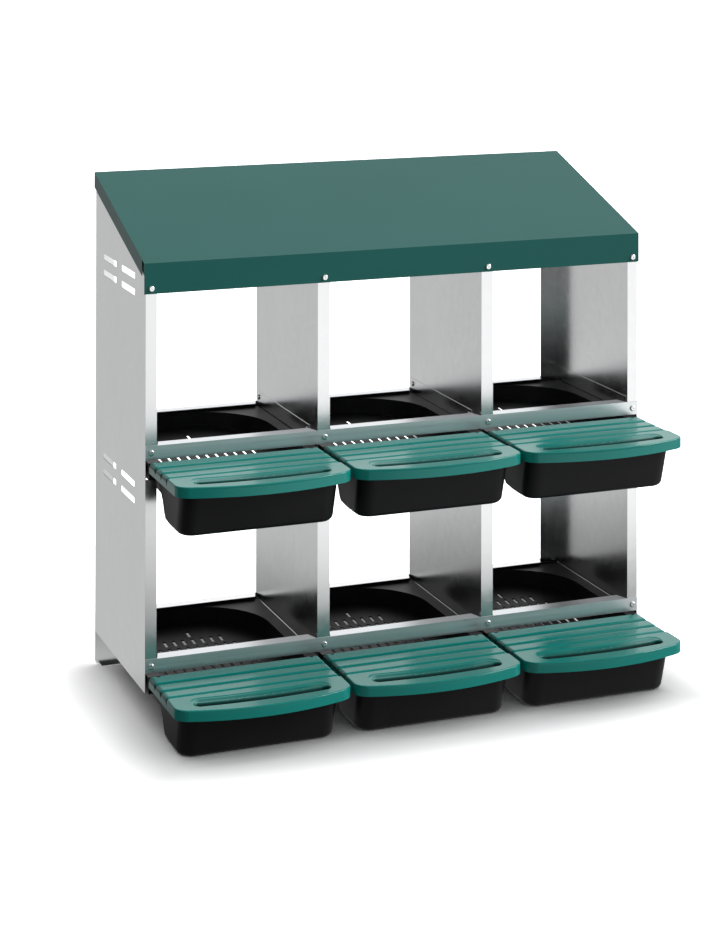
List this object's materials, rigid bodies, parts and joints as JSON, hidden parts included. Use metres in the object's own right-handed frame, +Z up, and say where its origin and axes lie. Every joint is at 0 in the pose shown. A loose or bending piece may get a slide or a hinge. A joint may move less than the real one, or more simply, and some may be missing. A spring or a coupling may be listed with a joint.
{
  "type": "nesting box",
  "caption": "Two-tier roll-away hen nesting box: folded steel frame with a sloping roof, sliding moulded nest trays and hinged lids over the egg troughs.",
  "frame": {"origin": "middle of the whole footprint (frame and trays), on the floor", "axes": "+X along the width, towards the right when facing the open fronts; +Y to the back; +Z up"},
  "size_m": [0.935, 0.5436, 0.895],
  "materials": {
    "galvanised_steel": "galvanised sheet, satin",
    "rail_steel": "galvanised sheet, satin",
    "roof_paint": "dark green powder coat, semi-matt",
    "tray_plastic": "fine moulded texture, matt",
    "lid_plastic": "moulded, semi-gloss",
    "zinc_fastener": "bright zinc plate"
  },
  "bodies": {
    "frame": {"side_panel_left": "galvanised_steel", "side_panel_right": "galvanised_steel", "partition_left": "galvanised_steel", "partition_right": "galvanised_steel", "roof": "roof_paint", "front_rail_upper": "rail_steel", "front_rail_lower": "rail_steel", "rear_rail": "rail_steel", "base_plate": "galvanised_steel", "runner_lower_left_l": "galvanised_steel", "runner_lower_left_r": "galvanised_steel", "runner_lower_middle_l": "galvanised_steel", "runner_lower_middle_r": "galvanised_steel", "runner_lower_right_l": "galvanised_steel", "runner_lower_right_r": "galvanised_steel", "runner_upper_left_l": "galvanised_steel", "runner_upper_left_r": "galvanised_steel", "runner_upper_middle_l": "galvanised_steel", "runner_upper_middle_r": "galvanised_steel", "runner_upper_right_l": "galvanised_steel", "runner_upper_right_r": "galvanised_steel", "fascia_screws": "zinc_fastener", "fascia_nuts": "zinc_fastener", "upper_rail_screws": "zinc_fastener", "upper_rail_nuts": "zinc_fastener", "lower_rail_screws": "zinc_fastener", "lower_rail_nuts": "zinc_fastener", "rear_rail_screws": "zinc_fastener", "rear_rail_nuts": "zinc_fastener", "base_plate_screws": "zinc_fastener", "base_plate_nuts": "zinc_fastener", "runner_screws": "zinc_fastener", "runner_nuts": "zinc_fastener"},
    "tray_lower_left": {"nest_tray_lower_left": "tray_plastic"},
    "lid_lower_left": {"lid_lower_left": "lid_plastic"},
    "tray_lower_middle": {"nest_tray_lower_middle": "tray_plastic"},
    "lid_lower_middle": {"lid_lower_middle": "lid_plastic"},
    "tray_lower_right": {"nest_tray_lower_right": "tray_plastic"},
    "lid_lower_right": {"lid_lower_right": "lid_plastic"},
    "tray_upper_left": {"nest_tray_upper_left": "tray_plastic"},
    "lid_upper_left": {"lid_upper_left": "lid_plastic"},
    "tray_upper_middle": {"nest_tray_upper_middle": "tray_plastic"},
    "lid_upper_middle": {"lid_upper_middle": "lid_plastic"},
    "tray_upper_right": {"nest_tray_upper_right": "tray_plastic"},
    "lid_upper_right": {"lid_upper_right": "lid_plastic"}
  },
  "joints": [
    {"name": "tray_lower_left_slide", "type": "slide", "parent": "frame", "child": "tray_lower_left", "axis": [0, -1, 0], "range_m": [0, 0.28]},
    {"name": "lid_lower_left_hinge", "type": "hinge", "parent": "tray_lower_left", "child": "lid_lower_left", "pos_m": [-0.3105, -0.0858, 0.086], "axis": [-1, 0, 0], "range_deg": [0, 90]},
    {"name": "tray_lower_middle_slide", "type": "slide", "parent": "frame", "child": "tray_lower_middle", "axis": [0, -1, 0], "range_m": [0, 0.28]},
    {"name": "lid_lower_middle_hinge", "type": "hinge", "parent": "tray_lower_middle", "child": "lid_lower_middle", "pos_m": [0, -0.0858, 0.086], "axis": [-1, 0, 0], "range_deg": [0, 90]},
    {"name": "tray_lower_right_slide", "type": "slide", "parent": "frame", "child": "tray_lower_right", "axis": [0, -1, 0], "range_m": [0, 0.28]},
    {"name": "lid_lower_right_hinge", "type": "hinge", "parent": "tray_lower_right", "child": "lid_lower_right", "pos_m": [0.3105, -0.0858, 0.086], "axis": [-1, 0, 0], "range_deg": [0, 90]},
    {"name": "tray_upper_left_slide", "type": "slide", "parent": "frame", "child": "tray_upper_left", "axis": [0, -1, 0], "range_m": [0, 0.28]},
    {"name": "lid_upper_left_hinge", "type": "hinge", "parent": "tray_upper_left", "child": "lid_upper_left", "pos_m": [-0.3105, -0.0858, 0.444], "axis": [-1, 0, 0], "range_deg": [0, 90]},
    {"name": "tray_upper_middle_slide", "type": "slide", "parent": "frame", "child": "tray_upper_middle", "axis": [0, -1, 0], "range_m": [0, 0.28]},
    {"name": "lid_upper_middle_hinge", "type": "hinge", "parent": "tray_upper_middle", "child": "lid_upper_middle", "pos_m": [0, -0.0858, 0.444], "axis": [-1, 0, 0], "range_deg": [0, 90]},
    {"name": "tray_upper_right_slide", "type": "slide", "parent": "frame", "child": "tray_upper_right", "axis": [0, -1, 0], "range_m": [0, 0.28]},
    {"name": "lid_upper_right_hinge", "type": "hinge", "parent": "tray_upper_right", "child": "lid_upper_right", "pos_m": [0.3105, -0.0858, 0.444], "axis": [-1, 0, 0], "range_deg": [0, 90]}
  ]
}
